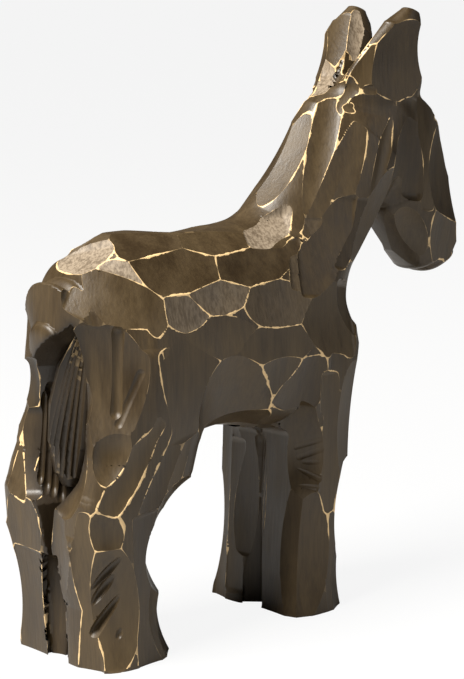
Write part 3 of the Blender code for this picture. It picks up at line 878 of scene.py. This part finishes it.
height = maths(tree, "ADD", maths(tree, "MULTIPLY", fibre, 0.6), maths(tree, "MULTIPLY", figure, 0.8))
bump = node(tree, "ShaderNodeBump")
bump.inputs["Strength"].default_value = 0.25
bump.inputs["Distance"].default_value = 0.0004
link(tree, height, bump.inputs["Height"])
link(tree, bump.outputs["Normal"], shader.inputs["Normal"])


# The body, neck, head, ears and legs were sawn from one carved form along glued joints, so
# each piece is the same carving kept to its own side of the joint planes.
UP = np.array([0.0, 0.0, 1.0])
SIDE = np.array([0.0, 1.0, 0.0])
LEG_JOINT = np.array([0.0, 0.0, 55.0])
EAR_JOINT = np.array([0.0, 0.0, 147.0])
SOLE = np.zeros(3)
NECK_JOINT = np.array([36.5, 0.0, 100.0])
HEAD_JOINT = np.array([60.0, 0.0, 128.0])
NECK_NORMAL = np.array([math.cos(math.radians(48)), 0.0, math.sin(math.radians(48))])
HEAD_NORMAL = np.array([math.cos(math.radians(16)), 0.0, math.sin(math.radians(16))])

pieces = {
    "trunk": ([(LEG_JOINT, -UP), (NECK_JOINT, NECK_NORMAL)], (-52, -24, 53), (54, 24, 116)),
    "neck": ([(NECK_JOINT, -NECK_NORMAL), (HEAD_JOINT, HEAD_NORMAL)], (18, -20, 80), (72, 20, 152)),
    "head": (
        [(NECK_JOINT, -NECK_NORMAL), (HEAD_JOINT, -HEAD_NORMAL), (EAR_JOINT, UP)],
        (48, -16, 85), (106, 16, 149),
    ),
}
for side, hand in ((1, "left"), (-1, "right")):
    inner, outer = (-2, 24) if side > 0 else (-24, 2), side * SIDE
    pieces["ear_" + hand] = ([(EAR_JOINT, -UP), (SOLE, -outer)], (50, inner[0], 145), (90, inner[1], 172))
    leg_planes = [(LEG_JOINT, UP), (SOLE, -UP), (SOLE, -outer)]
    pieces["hind_leg_" + hand] = (leg_planes, (-54, inner[0], -2), (-8, inner[1], 57))
    pieces["front_leg_" + hand] = (leg_planes, (18, inner[0], -2), (54, inner[1], 57))
for name, (planes, low, high) in pieces.items():
    piece = carved_piece("carved_" + name, block_form, cuts, planes, low, high)
    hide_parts(name)


# The tail is its own strip, pegged into the cleft and scored with the gouge into strands.
STRAND_TOP, STRAND_BOTTOM = (-43.0, -7.5, 88.0), (-46.5, 0.0, 50.0)
STRAND_FOOT_Y = (-7.0, -4.2, -1.6, 1.0, 3.4, 5.8)
tail_cuts = make_cuts(tail_form, [
    (STRAND_TOP[0], STRAND_TOP[1] + 0.3 * y, STRAND_TOP[2], STRAND_BOTTOM[0], y, STRAND_BOTTOM[2],
     2.0, 0.8, 0, 0)
    for y in STRAND_FOOT_Y
])
piece = carved_piece("carved_tail", tail_form, tail_cuts, [], (-52, -10, 46), (-26, 10, 96))
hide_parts("tail")


# Dowels and pegs of plain hardwood hold the joints; they are hidden once it is glued up.
dowel_wood = bpy.data.materials.new("dowel_wood")
dowel_wood.use_nodes = True
tree = dowel_wood.node_tree
shader = tree.nodes["Principled BSDF"]
place = node(tree, "ShaderNodeTexCoord").outputs["Object"]
fibre = grain_noise(tree, 0.08, 1200.0, 3.0, place)
link(tree, mixed(tree, fibre, BARE_DARK, RUBBED_WOOD), shader.inputs["Base Color"])
shader.inputs["Roughness"].default_value = 0.6
for name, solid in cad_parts.items():
    if name.startswith(("dowel", "peg")):
        solid.data.materials.clear()
        solid.data.materials.append(dowel_wood)


# The stage: a pale floor, soft light from overhead and a little from the right, and the
# camera behind the horse's right hip.
floor_mesh = bpy.data.meshes.new("floor")
floor_mesh.from_pydata([(-40, -40, 0), (40, -40, 0), (40, 40, 0), (-40, 40, 0)], [], [(0, 1, 2, 3)])
floor = bpy.data.objects.new("floor", floor_mesh)
bpy.context.scene.collection.objects.link(floor)
pale_floor = bpy.data.materials.new("pale_floor")
pale_floor.use_nodes = True
tree = pale_floor.node_tree
tree.nodes["Principled BSDF"].inputs["Base Color"].default_value = (0.5, 0.5, 0.5, 1.0)
tree.nodes["Principled BSDF"].inputs["Roughness"].default_value = 0.9
glow = node(tree, "ShaderNodeEmission")
both = node(tree, "ShaderNodeMixShader")
seen = node(tree, "ShaderNodeLightPath").outputs["Is Camera Ray"]
link(tree, maths(tree, "MULTIPLY", seen, 0.9), both.inputs["Fac"])
link(tree, tree.nodes["Principled BSDF"].outputs["BSDF"], both.inputs[1])
link(tree, glow.outputs["Emission"], both.inputs[2])
link(tree, both.outputs["Shader"], tree.nodes["Material Output"].inputs["Surface"])
floor_mesh.materials.append(pale_floor)

world = bpy.data.worlds.new("studio")
bpy.context.scene.world = world
world.use_nodes = True
tree = world.node_tree
light_path = node(tree, "ShaderNodeLightPath")
background = tree.nodes["Background"]
background.inputs["Color"].default_value = (1.0, 1.0, 1.0, 1.0)
strength = ramp(tree, light_path.outputs["Is Camera Ray"], 0.0, 1.0, 0.08, 1.0)
link(tree, strength, background.inputs["Strength"])


def soft_light(name, place, aim, size, watts, tint):
    """A square area lamp turned to a point."""
    lamp = bpy.data.lights.new(name, "AREA")
    lamp.size, lamp.energy, lamp.color = size, watts, tint
    lamp_object = bpy.data.objects.new(name, lamp)
    bpy.context.scene.collection.objects.link(lamp_object)
    lamp_object.location = place
    lamp_object.rotation_euler = (Vector(aim) - Vector(place)).to_track_quat("-Z", "Y").to_euler()


soft_light("key", (-0.50, 0.02, 0.80), (0.0, 0.0, 0.08), 0.40, 26.0, (1.0, 0.97, 0.92))
soft_light("fill", (0.45, -0.75, 0.30), (0.0, 0.0, 0.08), 0.5, 1.2, (0.94, 0.97, 1.0))

forward, right, above = Vector(VIEW_FORWARD), Vector(VIEW_RIGHT), Vector(VIEW_UP)
eye = Vector(VIEW_EYE - (BOX_MIDDLE_X, 0.0, 0.0)) * MM
camera_data = bpy.data.cameras.new("camera")
camera = bpy.data.objects.new("camera", camera_data)
bpy.context.scene.collection.objects.link(camera)
camera.matrix_world = Matrix((
    (right.x, above.x, -forward.x, eye.x),
    (right.y, above.y, -forward.y, eye.y),
    (right.z, above.z, -forward.z, eye.z),
    (0, 0, 0, 1),
))
camera_data.sensor_fit = "VERTICAL"
camera_data.sensor_height = 36.0
camera_data.lens = FOCAL_PIXELS * camera_data.sensor_height / PICTURE[1]
camera_data.shift_x = (PICTURE[0] / 2 - PRINCIPAL[0]) / PICTURE[1]
camera_data.shift_y = -(PICTURE[1] / 2 - PRINCIPAL[1]) / PICTURE[1]
camera_data.clip_start = 0.01
bpy.context.scene.camera = camera
bpy.context.scene.view_settings.view_transform = "Standard"
